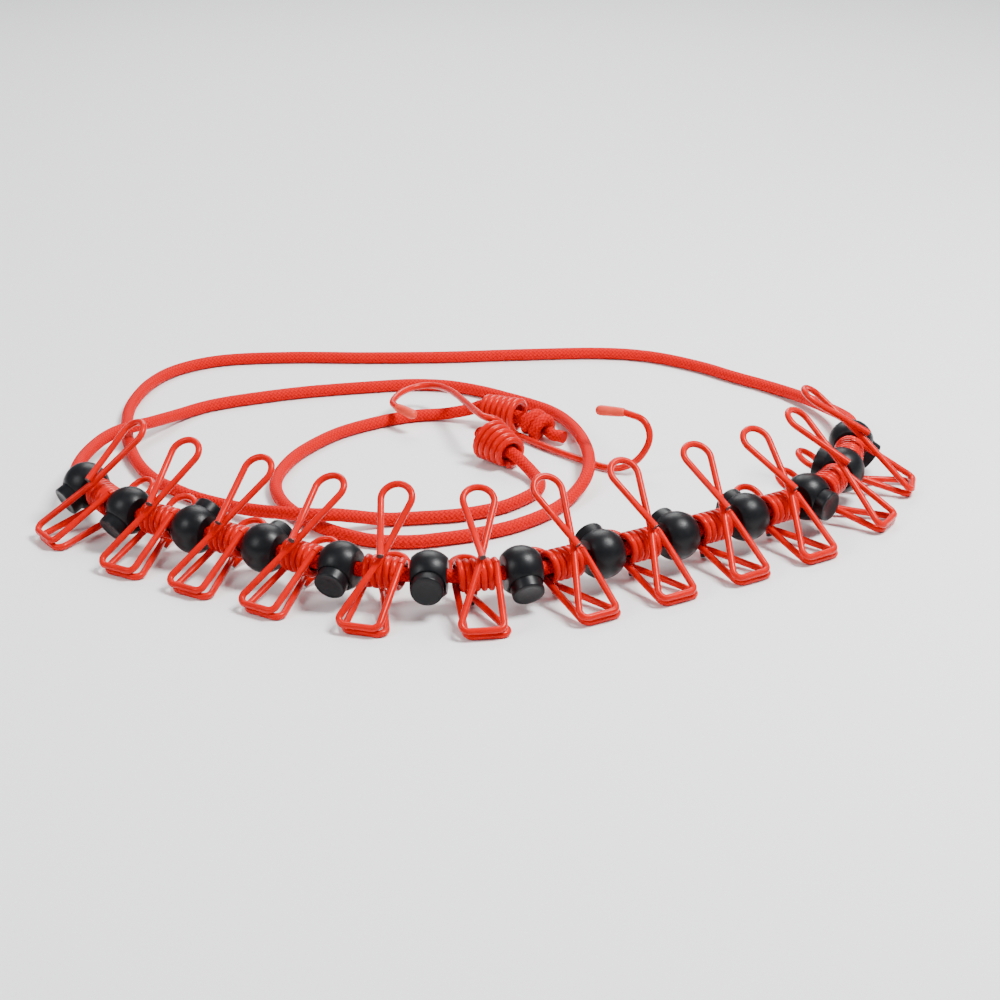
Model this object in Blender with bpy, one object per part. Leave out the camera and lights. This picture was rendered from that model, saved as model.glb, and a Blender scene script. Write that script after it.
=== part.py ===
"""Elastic travel clothesline: a cord threaded through wire clips and ball cord locks, with two end hooks.

The line lies loosely looped on a flat surface. Lengths are in millimetres until MM turns them into metres.
The row of clips and balls follows an arc whose middle is nearest to -Y. The clips rest on their jaw tips.
"""

import math

import bmesh
import bpy
from mathutils import Matrix, Vector

MM = 0.001
CENTRE = Vector((-5.11, -10.25, 0.0))   # middle of the hardware's footprint, in the layout's coordinates

# Cord
CORD_RADIUS = 2.5
CORD_STEP = 45.0                        # spacing of the tube's points on a straight free run
CORD_BEND_COST = 32.0                   # millimetres that a bend of one radian counts for in that spacing
BALL_CORD_REACH = 8.4                   # the cord runs straight this far each side of a ball's centre
ROW_CLEAR = 18.5                        # a free run has no points of its own nearer than this to the row

# Row of balls and clips
AXIS_HEIGHT = 12.86
BALL_COUNT = 13
BALL_PITCH = 31.9
ARC_POINTS = [
    (-156, -17), (-136, -42), (-110, -60), (-55, -93), (-24, -101), (7, -97),
    (63, -66), (114, -29), (131, -1), (139, 30), (144, 62), (147, 84),
]

# Ball cord lock
BALL_RADIUS = 8.9
BALL_HALF_WIDTH = 6.5                   # flats on both sides, where the cord enters
CORD_HOLE_RADIUS = 2.85
BALL_SIDES = 12
BALL_ARC_STEPS = 6
BORE_RADIUS = 6.05
BORE_FLOOR = -4.2
BORE_TOP = 10.0                         # the bore's cutter ends outside the ball
POCKET_RADIUS = 3.9
POCKET_FLOOR = -6.6
BUTTON_RADIUS = 5.75
BUTTON_TOP = 10.6
BUTTON_SHOULDER = -1.6
BUTTON_NOSE_RADIUS = 3.6
BUTTON_NOSE = -3.7
BUTTON_CHAMFER = 0.5
BUTTON_TRAVEL = 2.2
# Height angle of each button in degrees: 0 points out of the arc, 90 up, 180 into the arc.
BUTTON_ANGLES = [-25, -32, 152, 170, -21, -9, -30, 160, 168, 165, -8, 168, -35]

# Wire clip, in the clip's own (along the cord, towards the jaw, away from the mid-plane) coordinates
WIRE_RADIUS = 1.1
JAW_DROP = 23.2                         # degrees that the jaw points below the horizontal
COIL_RADIUS = 4.7
COIL_PITCH = 2.5
COIL_TURNS = 5.5
COIL_STEPS = 6                          # tube segments in one turn
COIL_GAP = 42.0                         # degrees left open for the front arm to turn into
JAW_OFFSET = 1.25
FRONT_CROSSING = (0.9, 2.0, 9.0)
FRONT_TIP = (2.6, -25.5, 17.8)
BACK_CROSSING = (0.9, 2.0, 9.0)
BACK_TIP = (2.4, -18.5, 5.6)
LOOP_RADIUS = 5.5
END_LIFT = 2.8                          # the cut wire end crosses on top of the other strand
# The cut end's strand: (millimetres across, share of the way to the loop's middle, share of END_LIFT)
END_STRAND = [(0.5, -0.01, 1.0), (-1.3, 0.3, 0.6), (-3.9, 0.7, 0.1)]
LOOP_ANGLES = (180, 135, 90, 45, 0)
JAW_LEFT = -9.2
JAW_RIGHT = 6.5
JAW_REACH = 27.0
JAW_CORNER = 1.5
COIL_ENTRY = 3.5                        # the strand from the jaw starts to bend into the coil here
COIL_DIP = 0.25
# Each clip's own small set: millimetres that its front handle sways along the cord, degrees that it leans
# back, and degrees that its back handle hangs lower.
FRONT_SWAY = [-1.5, 1, 3.5, 0, -1.5, 0.8, -2, -1.6, 1, -3.5, 0.5, 2]
FRONT_LEAN = [-2, 0, -3, 4, -2, 5, -3, -1, 3.5, 3, 4, 5]
BACK_DROOP = [0, 0, 7, 8, 11, 11, 12, 12, 12, 0, 0, 4]

# End hooks
HOOK_WIRE_RADIUS = 1.25
HOOK_COIL_TURNS = 5.5
HOOK_COIL_STEPS = 8
HOOK_SIDES = 10                         # of the dipped tips and knots
TIP_RADIUS = 2.1
TIP_LENGTH = 12.0
TIP_NECK = 1.0                          # the dip coating widens from the wire over this length
TIP_NOSE = 1.6
GAP = 0.4
MOUTH_RUN = 1.5                         # the cord bends only this far outside the coil's small end

# The knot in the cord's end, before its tail: (radius, distance from the knot's start)
KNOT_PROFILE = [(0, 0), (2.4, 0), (3.0, 2.0), (5.0, 3.6), (5.3, 7.0), (4.6, 10.2), (2.5, 11.6)]
TAIL_RADIUS = 2.5

# Each hook: the middle and radius of its coil's big and small ends, where the wire leaves the big end, which
# way it winds, the way from there along the shank and round the bend to the dipped tip, and the tip's direction.
# The knot starts at the given distance outside the big end, and its tail ends at the next one.
HOOKS = {
    "a": {
        "big": (-5, 44.4, 9.3), "small": (5, 32.4, 6.8), "radii": (7.9, 5.0), "rim": (0.26, 0.215, 0.94),
        "wind": -1,
        "route": [(-5.4, 45.5, 17.4), (-7.3, 47.8, 17.3), (-8.7, 52, 16.8), (-11, 60, 15.9), (-18.5, 86, 13),
                  (-23, 97.5, 11.5),
                  (-27, 103.5, 10.6), (-31.5, 106, 10), (-36.5, 104.5, 9.6), (-41, 100, 9.3), (-44, 93.5, 9),
                  (-45, 87, 8.8), (-43, 81.8, 8.7)],
        "tip": (9, -10.4, -0.4), "knot": (-10, 12, 2.5), "knot_start": -7.5, "tail_end": 7.5,
    },
    "b": {
        "big": (7.9, 73.6, 7.7), "small": (-5.4, 84.1, 8.0), "radii": (6.2, 4.3), "rim": (-0.5, -0.6, -0.62),
        "wind": 1,
        "route": [(5.7, 69.8, 1.9), (8.6, 66.2, 1.5), (18.3, 54.4, 1.6), (30, 42, 1.6), (38.5, 33.5, 1.6),
                  (44, 29.6, 1.7), (48.5, 28, 2.6), (53, 26.8, 5.2), (56.5, 26.8, 9), (58.8, 27.4, 13.8),
                  (58.8, 29.4, 18), (56, 32, 21.6), (49.5, 35.2, 23.2)],
        "tip": (-9.5, 3.5, -0.3), "knot": (17.4, -12.6, -4.2), "knot_start": 1.2, "tail_end": 23,
    },
}

# Free runs of the cord, from each hook's coil to the row of balls
RUN_A = [
    (9.6, 25.8, 4.9), (13, 20.4, 3.1), (15.4, 12, 2.5), (14, 3, 2.5), (8, -6, 2.5), (-1, -14.5, 2.5),
    (-15, -21, 2.5), (-31, -24, 2.5), (-43.5, -26, 2.8), (-55, -31, 6), (-61.5, -35.3, 8.4), (-67.5, -37, 9),
    (-74, -36, 8.9), (-81, -31.7, 7.6), (-89.5, -25, 5.6), (-98.5, -17.5, 3.8), (-107.5, -10.6, 2.8),
    (-117.5, -3.3, 2.5), (-126, 4.7, 2.5), (-135, 14.7, 2.5), (-144, 32, 2.5), (-151, 54, 2.5),
    (-155.5, 78, 2.5), (-157, 102, 2.5), (-153, 129, 2.5), (-143, 149, 2.5), (-124, 162, 2.5),
    (-94, 166, 2.5), (-60, 165.5, 2.5),
    (-25, 166.5, 2.5), (10, 170, 2.5), (45, 172, 2.5), (68, 167, 2.5), (89, 153, 2.5), (103, 139, 2.5),
    (116, 127, 2.5), (128, 112, 3.2), (137, 92, 5.2), (141.5, 71, 9), (142.5, 54, 12),
]
RUN_B = [
    (-163, 2.5, 12.1), (-163.2, 15, 11.2), (-162, 28.7, 10.2), (-159.3, 41.8, 9.5), (-155.2, 51.6, 9.1),
    (-150.1, 57.7, 8.8), (-145.1, 65.2, 7.6), (-140.2, 77.1, 5.2), (-134.8, 88.5, 3.2), (-127.5, 98, 2.5),
    (-119.6, 103.8, 2.5), (-106, 110.5, 2.5), (-82, 119.5, 2.5), (-49, 127, 2.5), (-35, 128.5, 2.5),
    (-22, 126.5, 2.5), (-8, 119.5, 2.5), (5, 109.5, 2.5), (13.5, 102.5, 2.5), (20.4, 95.3, 2.5),
    (26.4, 84.3, 2.9), (30.9, 67.8, 4.2), (33.8, 50, 5.6), (35.2, 32.8, 6.5), (34.9, 18.5, 6.5),
    (32.8, 7.4, 5.4), (28.9, -1.2, 3.6), (23.3, -11.5, 2.6), (15.5, -22.3, 2.5),
    (4.5, -32.5, 2.5), (-6, -38.5, 2.5),
    (-19, -43.5, 2.5), (-33, -47, 2.5), (-48, -45.5, 2.5), (-62, -37, 2.5),
    (-72, -27, 2.5), (-80, -15, 2.5), (-85, -3, 2.5), (-87.5, 11, 2.5), (-86, 27, 2.5), (-80, 46, 2.5),
    (-67, 67, 2.5), (-50, 81.5, 2.5), (-36, 88.5, 2.5), (-24, 90, 2.8), (-15, 88, 5), (-9.8, 86.4, 6.9),
]


def clear_scene():
    for item in list(bpy.data.objects):
        bpy.data.objects.remove(item, do_unlink=True)


def make_material(name, colour, roughness, metallic=0.0):
    material = bpy.data.materials.new(name)
    material.use_nodes = True
    shader = material.node_tree.nodes["Principled BSDF"]
    shader.inputs["Base Color"].default_value = (*colour, 1.0)
    shader.inputs["Roughness"].default_value = roughness
    shader.inputs["Metallic"].default_value = metallic
    return material


def place(points):
    """Layout coordinates in millimetres to world coordinates in metres."""
    return [(Vector(point) - CENTRE) * MM for point in points]


def catmull_rom(points, steps=12):
    """Points along a smooth curve through the given ones."""
    points = [Vector(point) for point in points]
    ends = [points[0] * 2 - points[1]] + points + [points[-1] * 2 - points[-2]]
    curve = []
    for index in range(1, len(ends) - 2):
        before, start, finish, after = ends[index - 1:index + 3]
        for step in range(steps):
            t = step / steps
            curve.append(0.5 * (2 * start + (finish - before) * t
                                + (2 * before - 5 * start + 4 * finish - after) * t ** 2
                                + (3 * start - before - 3 * finish + after) * t ** 3))
    curve.append(points[-1])
    return curve


def resample(curve, spacing):
    """The curve's own ends and points between them, spaced more closely where it bends."""
    lengths = [0.0]
    heading = curve[1] - curve[0]
    for first, second in zip(curve, curve[1:]):
        step = second - first
        lengths.append(lengths[-1] + step.length + CORD_BEND_COST * heading.angle(step))
        heading = step
    count = max(1, round(lengths[-1] / spacing))
    samples = []
    index = 0
    for step in range(count + 1):
        wanted = lengths[-1] * step / count
        while index < len(curve) - 2 and lengths[index + 1] < wanted:
            index += 1
        share = (wanted - lengths[index]) / (lengths[index + 1] - lengths[index])
        samples.append(curve[index].lerp(curve[index + 1], share))
    return samples


def walk(curve, spacing, count):
    """Points on the curve whose straight distance from each to the next is the spacing."""
    places = [curve[0]]
    index = 0
    while len(places) < count:
        while (curve[index + 1] - places[-1]).length < spacing:
            index += 1
        low, high = 0.0, 1.0
        for _ in range(40):
            middle = (low + high) / 2
            point = curve[index].lerp(curve[index + 1], middle)
            if (point - places[-1]).length < spacing:
                low = middle
            else:
                high = middle
        places.append(curve[index].lerp(curve[index + 1], high))
    return places


def tube(name, points, radius, material, sides=6, origin=None):
    """A closed round tube along world points, as a curve with a bevel and filled caps."""
    origin = Vector(origin) if origin is not None else Vector(points[0])
    curve = bpy.data.curves.new(name, "CURVE")
    curve.dimensions = "3D"
    spline = curve.splines.new("POLY")
    spline.points.add(len(points) - 1)
    for target, point in zip(spline.points, points):
        target.co = (*(Vector(point) - origin), 1.0)
    curve.bevel_depth = radius * MM
    curve.bevel_resolution = (sides - 4) // 2
    curve.use_fill_caps = True
    curve.materials.append(material)
    item = bpy.data.objects.new(name, curve)
    item.location = origin
    bpy.context.collection.objects.link(item)
    return item


def turned(name, profile, sides, material=None):
    """A solid of revolution about its own Z axis from a closed or axis-to-axis (radius, height) profile."""
    mesh = bpy.data.meshes.new(name)
    shape = bmesh.new()
    rings = []
    for radius, height in profile:
        if radius == 0:
            rings.append([shape.verts.new((0, 0, height * MM))])
            continue
        rings.append([shape.verts.new((radius * MM * math.cos(2 * math.pi * side / sides),
                                       radius * MM * math.sin(2 * math.pi * side / sides),
                                       height * MM)) for side in range(sides)])
    pairs = list(zip(rings, rings[1:]))
    if profile[0][0] > 0:
        pairs.append((rings[-1], rings[0]))
    for lower, upper in pairs:
        for side in range(sides):
            after = (side + 1) % sides
            if len(lower) == 1:
                shape.faces.new((lower[0], upper[after], upper[side]))
            elif len(upper) == 1:
                shape.faces.new((lower[side], lower[after], upper[0]))
            else:
                shape.faces.new((lower[side], lower[after], upper[after], upper[side]))
    bmesh.ops.recalc_face_normals(shape, faces=shape.faces)
    shape.to_mesh(mesh)
    shape.free()
    mesh.shade_smooth()
    mesh.set_sharp_from_angle(angle=math.radians(40))
    if material:
        mesh.materials.append(material)
    item = bpy.data.objects.new(name, mesh)
    bpy.context.collection.objects.link(item)
    return item


def cut(target, cutter):
    """Subtract a hidden cutter from the target."""
    cutter.hide_render = True
    cutter.display_type = "WIRE"
    cutter.hide_set(True)
    modifier = target.modifiers.new("cut", "BOOLEAN")
    modifier.operation = "DIFFERENCE"
    modifier.solver = "EXACT"
    modifier.object = cutter


def axes_matrix(x_axis, y_axis, z_axis, origin):
    matrix = Matrix((x_axis, y_axis, z_axis)).transposed().to_4x4()
    matrix.translation = origin
    return matrix


def ball_frames():
    """Centre, cord direction and outward side of every ball."""
    curve = catmull_rom([(x, y, AXIS_HEIGHT) for x, y in ARC_POINTS], 60)
    stations = walk(curve, BALL_PITCH, BALL_COUNT + 1)
    before = stations[0] * 2 - stations[1]
    frames = []
    for index in range(BALL_COUNT):
        back = stations[index - 1] if index else before
        along = ((stations[index + 1] - stations[index]).normalized()
                 + (stations[index] - back).normalized()).normalized()
        frames.append((stations[index], along, Vector((along.y, -along.x, 0))))
    return frames


def ball_profile():
    """Half section of the shell about the cord: two flats joined by the ball's surface, and the cord hole."""
    rim = math.acos(BALL_HALF_WIDTH / BALL_RADIUS)
    profile = [(CORD_HOLE_RADIUS, -BALL_HALF_WIDTH)]
    for step in range(BALL_ARC_STEPS + 1):
        angle = rim + (math.pi - 2 * rim) * step / BALL_ARC_STEPS
        profile.append((BALL_RADIUS * math.sin(angle), -BALL_RADIUS * math.cos(angle)))
    profile.append((CORD_HOLE_RADIUS, BALL_HALF_WIDTH))
    return profile


def make_ball(number, centre, along, outward, black):
    angle = math.radians(BUTTON_ANGLES[number - 1])
    press = outward * math.cos(angle) + Vector((0, 0, 1)) * math.sin(angle)
    side = press.cross(along)
    spot = place([centre])[0]
    shell = turned(f"ball_{number:02d}_shell", ball_profile(), BALL_SIDES, black)
    shell.matrix_world = axes_matrix(press, side, along, spot)
    bore_profile = [(0, POCKET_FLOOR), (POCKET_RADIUS, POCKET_FLOOR), (POCKET_RADIUS, BORE_FLOOR),
                    (BORE_RADIUS, BORE_FLOOR), (BORE_RADIUS, BORE_TOP), (0, BORE_TOP)]
    bore = turned(f"ball_{number:02d}_bore_cutter", bore_profile, BALL_SIDES)
    bore.matrix_world = axes_matrix(side, along, press, spot)
    cut(shell, bore)

    button_profile = [(0, BUTTON_NOSE), (BUTTON_NOSE_RADIUS, BUTTON_NOSE),
                      (BUTTON_NOSE_RADIUS, BUTTON_SHOULDER), (BUTTON_RADIUS, BUTTON_SHOULDER),
                      (BUTTON_RADIUS, BUTTON_TOP - BUTTON_CHAMFER),
                      (BUTTON_RADIUS - BUTTON_CHAMFER, BUTTON_TOP), (0, BUTTON_TOP)]
    button = turned(f"ball_{number:02d}_button", button_profile, BALL_SIDES, black)
    button.matrix_world = axes_matrix(side, along, press, spot)
    slot_low = -CORD_HOLE_RADIUS
    slot_high = CORD_HOLE_RADIUS + BUTTON_TRAVEL
    bpy.ops.mesh.primitive_cube_add(size=1)
    slot = bpy.context.object
    slot.name = f"ball_{number:02d}_slot_cutter"
    slot.matrix_world = (axes_matrix(side, along, press, spot)
                         @ Matrix.Translation((0, 0, (slot_low + slot_high) / 2 * MM))
                         @ Matrix.Diagonal((2 * CORD_HOLE_RADIUS * MM, 4 * BUTTON_RADIUS * MM,
                                            (slot_high - slot_low) * MM, 1)))
    cut(button, slot)


def set_tip(tip, sway, degrees):
    """A handle's tip moved along the cord and turned about it, away from where the other handle is."""
    angle = math.radians(degrees)
    along, inward, away = tip
    return (along + sway, inward * math.cos(angle) - away * math.sin(angle),
            inward * math.sin(angle) + away * math.cos(angle))


def arm_path(crossing, tip, joint_u):
    """Centreline of one arm from its cut end round the handle loop and the jaw to the coil.

    The cut end comes down on top of the other strand, which crosses over to the jaw's far corner.
    """
    crossing = Vector(crossing)
    tip = Vector(tip)
    handle = (tip - crossing).normalized()
    across = (Vector((1, 0, 0)) - handle * handle.x).normalized()
    lift = across.cross(handle)
    if lift.z < 0:
        lift = -lift
    centre = tip - handle * LOOP_RADIUS
    reach = (centre - crossing).length
    points = [crossing + across * sideways + handle * reach * share + lift * END_LIFT * height
              for sideways, share, height in END_STRAND]
    for degrees in LOOP_ANGLES:
        angle = math.radians(degrees)
        points.append(centre + (across * math.cos(angle) + handle * math.sin(angle)) * LOOP_RADIUS)
    points.append(crossing)
    for side, inward in ((JAW_LEFT, 1), (JAW_RIGHT, -1)):
        corner = [Vector((side, JAW_REACH - JAW_CORNER, JAW_OFFSET)),
                  Vector((side + inward * JAW_CORNER, JAW_REACH, JAW_OFFSET))]
        points += corner[::inward]
    points += [Vector((joint_u, JAW_REACH / 2, (JAW_OFFSET + COIL_RADIUS) / 2)),
               Vector((joint_u, COIL_ENTRY, COIL_RADIUS - COIL_DIP))]
    return points


def mirrored_arm(points):
    """The same wire form turned half a turn about the line from handle to jaw."""
    return [Vector((-point.x, point.y, -point.z)) for point in points]


def coil_path():
    """The coil's centreline from the front arm's side to the back arm."""
    half = COIL_TURNS * COIL_PITCH / 2
    start = 90 + COIL_GAP
    finish = 90 + 360 * COIL_TURNS
    steps = round((finish - start) / 360 * COIL_STEPS)
    points = []
    for step in range(steps + 1):
        degrees = start + (finish - start) * step / steps
        angle = math.radians(degrees)
        points.append(Vector((half - COIL_PITCH * (degrees - 90) / 360,
                              COIL_RADIUS * math.cos(angle), COIL_RADIUS * math.sin(angle))))
    return points


def make_clip(number, first, second, red):
    """One clip, its coil in the middle of the straight cord between two balls."""
    start = first[0] + first[1] * BALL_CORD_REACH
    finish = second[0] - second[1] * BALL_CORD_REACH
    centre = (start + finish) / 2
    along = (finish - start).normalized()
    outward = Vector((along.y, -along.x, 0))
    drop = math.radians(JAW_DROP)
    jaw = outward * math.cos(drop) - Vector((0, 0, 1)) * math.sin(drop)
    lift = outward * math.sin(drop) + Vector((0, 0, 1)) * math.cos(drop)

    def world(points):
        return place([centre + along * point.x + jaw * point.y + lift * point.z for point in points])

    joint_u = COIL_TURNS * COIL_PITCH / 2
    spot = place([centre])[0]
    front_tip = set_tip(FRONT_TIP, FRONT_SWAY[number - 1], FRONT_LEAN[number - 1])
    front = arm_path(FRONT_CROSSING, front_tip, joint_u) + [Vector((joint_u, 0.1, COIL_RADIUS))]
    tube(f"clip_{number:02d}_front_arm", world(front), WIRE_RADIUS, red, origin=spot)
    back_tip = set_tip(BACK_TIP, 0, -BACK_DROOP[number - 1])
    back = mirrored_arm(arm_path(BACK_CROSSING, back_tip, joint_u))
    tube(f"clip_{number:02d}_back_arm", world(coil_path() + back[::-1]), WIRE_RADIUS, red, origin=spot)


def hook_path(hook):
    """Centreline of a hook from its coil's small end to where the wire enters the dipped tip."""
    big = Vector(hook["big"])
    small = Vector(hook["small"])
    big_radius, small_radius = hook["radii"]
    axis = (big - small).normalized()
    rim = Vector(hook["rim"])
    rim = (rim - axis * rim.dot(axis)).normalized()
    side = axis.cross(rim)
    points = []
    steps = round(HOOK_COIL_TURNS * HOOK_COIL_STEPS)
    for step in range(steps + 1):
        share = step / steps
        angle = hook["wind"] * 2 * math.pi * (share - 1) * HOOK_COIL_TURNS
        radius = small_radius + (big_radius - small_radius) * share
        points.append(small + (big - small) * share
                      + (rim * math.cos(angle) + side * math.sin(angle)) * radius)
    return points + [Vector(point) for point in hook["route"]]


def make_hook(letter, hook, red, orange):
    points = hook_path(hook)
    origin = place([hook["small"]])[0]
    tube(f"hook_{letter}_wire", place(points), HOOK_WIRE_RADIUS, red, origin=origin)
    direction = Vector(hook["tip"]).normalized()
    tip_profile = [(0, 0), (TIP_RADIUS * 0.8, 0), (TIP_RADIUS, TIP_NECK), (TIP_RADIUS, TIP_LENGTH - TIP_NOSE),
                   (TIP_RADIUS * 0.7, TIP_LENGTH - TIP_NOSE / 4), (0, TIP_LENGTH)]
    tip = turned(f"hook_{letter}_tip", tip_profile, HOOK_SIDES, orange)
    tip.matrix_world = direction.to_track_quat("Z", "Y").to_matrix().to_4x4()
    tip.location = place([points[-1] + direction * GAP])[0]


def knot_base(hook):
    """Where the cord's knot starts, and the way that the knot points."""
    direction = Vector(hook["knot"]).normalized()
    return Vector(hook["big"]) + direction * hook["knot_start"], direction


def make_knot(letter, hook, red):
    """The cord's end is knotted at the coil's mouth; a solid of revolution stands for knot and tail."""
    base, direction = knot_base(hook)
    tail = hook["tail_end"] - hook["knot_start"]
    knot = turned(f"knot_{letter}", KNOT_PROFILE + [(TAIL_RADIUS, tail), (0, tail)], HOOK_SIDES, red)
    knot.matrix_world = direction.to_track_quat("Z", "Y").to_matrix().to_4x4()
    knot.location = place([base])[0]


def cord_points(frames):
    """Route of the whole cord: hook A's coil, run A, the row from its far end, run B, hook B's coil."""
    def coil_ends(hook):
        base, direction = knot_base(hook)
        small = Vector(hook["small"])
        axis = (Vector(hook["big"]) - small).normalized()
        inside = base - direction * GAP - axis * GAP
        return inside, small - axis * MOUTH_RUN

    knot_a, mouth_a = coil_ends(HOOKS["a"])
    knot_b, mouth_b = coil_ends(HOOKS["b"])
    row = []
    for centre, along, _ in reversed(frames):
        row += [centre + along * BALL_CORD_REACH, centre - along * BALL_CORD_REACH]
    run_a = resample(catmull_rom([mouth_a] + RUN_A + [row[0], row[1]]), CORD_STEP)
    run_b = resample(catmull_rom([row[-2], row[-1]] + RUN_B + [mouth_b]), CORD_STEP)
    first_free = [point for point in run_a if (point - row[1]).length > ROW_CLEAR]
    last_free = [point for point in run_b if (point - row[-2]).length > ROW_CLEAR]
    return [knot_a] + first_free + row + last_free + [knot_b]


def build():
    clear_scene()
    black = make_material("black_plastic", (0.006, 0.0065, 0.0075), 0.42)
    wire_red = make_material("red_vinyl_wire", (0.55, 0.005, 0.003), 0.22)
    cord_red = make_material("red_braid", (0.55, 0.003, 0.005), 0.6)
    tip_orange = make_material("dipped_tip", (0.72, 0.05, 0.025), 0.5)
    frames = ball_frames()
    for number, (centre, along, outward) in enumerate(frames, 1):
        make_ball(number, centre, along, outward, black)
    for number in range(1, BALL_COUNT):
        make_clip(number, frames[number - 1], frames[number], wire_red)
    for letter, hook in HOOKS.items():
        make_hook(letter, hook, wire_red, tip_orange)
        make_knot(letter, hook, cord_red)
    tube("cord", place(cord_points(frames)), CORD_RADIUS, cord_red, sides=8)


build()
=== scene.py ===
"""Looks of the elastic travel clothesline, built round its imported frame.

Lengths are in millimetres, in the layout's own coordinates, until place() turns them into
metres in the frame.
"""

import math

import bmesh
import bpy
from mathutils import Matrix, Vector

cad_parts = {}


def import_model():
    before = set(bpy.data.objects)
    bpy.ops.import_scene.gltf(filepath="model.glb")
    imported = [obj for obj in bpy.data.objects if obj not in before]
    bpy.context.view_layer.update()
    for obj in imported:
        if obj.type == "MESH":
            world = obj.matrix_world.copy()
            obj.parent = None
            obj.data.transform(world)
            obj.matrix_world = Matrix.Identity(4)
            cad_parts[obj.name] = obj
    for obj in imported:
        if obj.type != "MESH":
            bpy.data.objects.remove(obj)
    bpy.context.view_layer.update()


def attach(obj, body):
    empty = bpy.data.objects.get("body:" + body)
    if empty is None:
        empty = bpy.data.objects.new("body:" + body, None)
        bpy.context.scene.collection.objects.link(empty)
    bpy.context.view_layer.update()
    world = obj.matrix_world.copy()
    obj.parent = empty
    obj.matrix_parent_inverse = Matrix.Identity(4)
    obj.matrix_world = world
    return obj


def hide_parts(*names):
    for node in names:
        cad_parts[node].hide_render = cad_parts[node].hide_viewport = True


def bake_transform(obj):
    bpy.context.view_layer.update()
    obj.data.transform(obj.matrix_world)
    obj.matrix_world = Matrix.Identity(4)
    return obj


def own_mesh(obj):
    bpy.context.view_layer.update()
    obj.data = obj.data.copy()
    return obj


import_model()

MM = 0.001
CENTRE = Vector((-5.11, -10.25, 0.0))   # the frame's origin in the layout's coordinates

# Cord
CORD_RADIUS = 2.5
CORD_RING_STEP = 1.5
CORD_SIDES = 24
CORD_CURVE_STEPS = 16
BALL_CORD_REACH = 8.4                   # the cord runs straight this far each side of a ball's centre
COIL_CORD_REACH = 1.5                   # and this far past the small end of a hook's coil
KNOT_OVERLAP = 0.3                      # the cord and its knots run this far into each other
BRAID_STRANDS = 9
BRAID_LAY = 0.017                       # metres for one turn of a strand

# Row of balls and clips
AXIS_HEIGHT = 12.86
BALL_COUNT = 13
BALL_PITCH = 31.9
ARC_CURVE_STEPS = 60
ARC_POINTS = [
    (-156, -17), (-136, -42), (-110, -60), (-55, -93), (-24, -101), (7, -97),
    (63, -66), (114, -29), (131, -1), (139, 30), (144, 62), (147, 84),
]

# Ball cord lock
BALL_RADIUS = 8.9
BALL_HALF_WIDTH = 6.3                   # to the flats where the cord enters
BALL_SIDES = 64
BALL_ARC_STEPS = 28
BALL_ROUNDING = 0.28
CORD_HOLE_RADIUS = 2.85
BORE_RADIUS = 6.05
BORE_FLOOR = -4.2
POCKET_RADIUS = 3.9
POCKET_FLOOR = -6.6
BUTTON_RADIUS = 5.75
BUTTON_TOP = 10.6
BUTTON_SHOULDER = -1.6
BUTTON_NOSE_RADIUS = 3.6
BUTTON_NOSE = -3.7
BUTTON_TRAVEL = 2.2
BUTTON_EDGE = 0.55
BUTTON_ROUNDING = 0.15
DISH_RADIUS = 3.9                       # shallow dish in the button's face
DISH_RIM = 0.25
DISH_STEP = 0.12
DISH_DEPTH = 0.3
SLOT_SPARE = 0.3                        # the cord's bend needs this much more of the button's slot
SPRING_TURNS = 3
SPRING_STEPS = 14                       # for each turn
SPRING_WIRE_RADIUS = 0.25
SPRING_SIDES = 8
SPRING_RADII = (3.1, 2.4)               # on the pocket's floor, and under the button's nose
SPRING_SEATS = (0.35, 0.3)              # gaps from the wire's centre to the floor and to the nose
# Degrees above the floor that each button points, measured from the row's outer side
BUTTON_ANGLES = [-25, -32, 152, 170, -21, -9, -30, 160, 168, 165, -8, 168, -35]

# Wire clip, in the clip's own (along the cord, towards the jaw, away from the mid-plane) coordinates
WIRE_RADIUS = 1.25
WIRE_SIDES = 14
CORE_RADIUS = 0.65                      # bare steel in the wire's cut end
CORE_PROUD = 0.25
JAW_DROP = 23.2                         # degrees that the jaw points below the horizon
COIL_RADIUS = 4.7
COIL_PITCH = 2.5
COIL_TURNS = 5.5
COIL_STEPS = 18                         # for each turn
CORNER_RADIUS = 2.6
FILLET_STEP = 9                         # degrees between the points of a rounded corner
FILLET_SHARE = 0.48                     # of a leg that one corner may take
STRAIGHT = 4                            # degrees: a smaller bend stays as it is
FRONT_CROSSING = (0.9, 2.0, 9.0)
FRONT_TIP = (2.6, -25.5, 17.8)
BACK_CROSSING = (0.9, 2.0, 9.0)
BACK_TIP = (2.4, -18.5, 5.6)
LOOP_RADIUS = 5.5
LOOP_STEPS = 22
END_LIFT = 2.75                         # the cut end lies this far over the strand that it crosses
END_PLACE = (0.5, -0.3)                 # the cut end from the crossing: across, and along the handle
END_FADE = (0.12, 3)                    # share of END_LIFT where the loop starts, and how fast it goes
JAW_LEFT = -9.2
JAW_RIGHT = 6.5
JAW_REACH = 27.0
JAW_OFFSET = 1.28
# Each clip's own small set: millimetres that its front handle sways along the cord, degrees that it
# leans back, and degrees that its back handle hangs lower
FRONT_SWAY = [-1.5, 1, 3.5, 0, -1.5, 0.8, -2, -1.6, 1, -3.5, 0.5, 2]
FRONT_LEAN = [-2, 0, -3, 4, -2, 5, -3, -1, 3.5, 3, 4, 5]
BACK_DROOP = [0, 0, 7, 8, 11, 11, 12, 12, 12, 0, 0, 4]

# End hooks
HOOK_WIRE_RADIUS = 1.4
HOOK_COIL_TURNS = 5.5
SHANK_STEPS = 8
TIP_ENTRY = 1.5                         # the wire runs this far into its dipped tip
TIP_SIDES = 20
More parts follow.
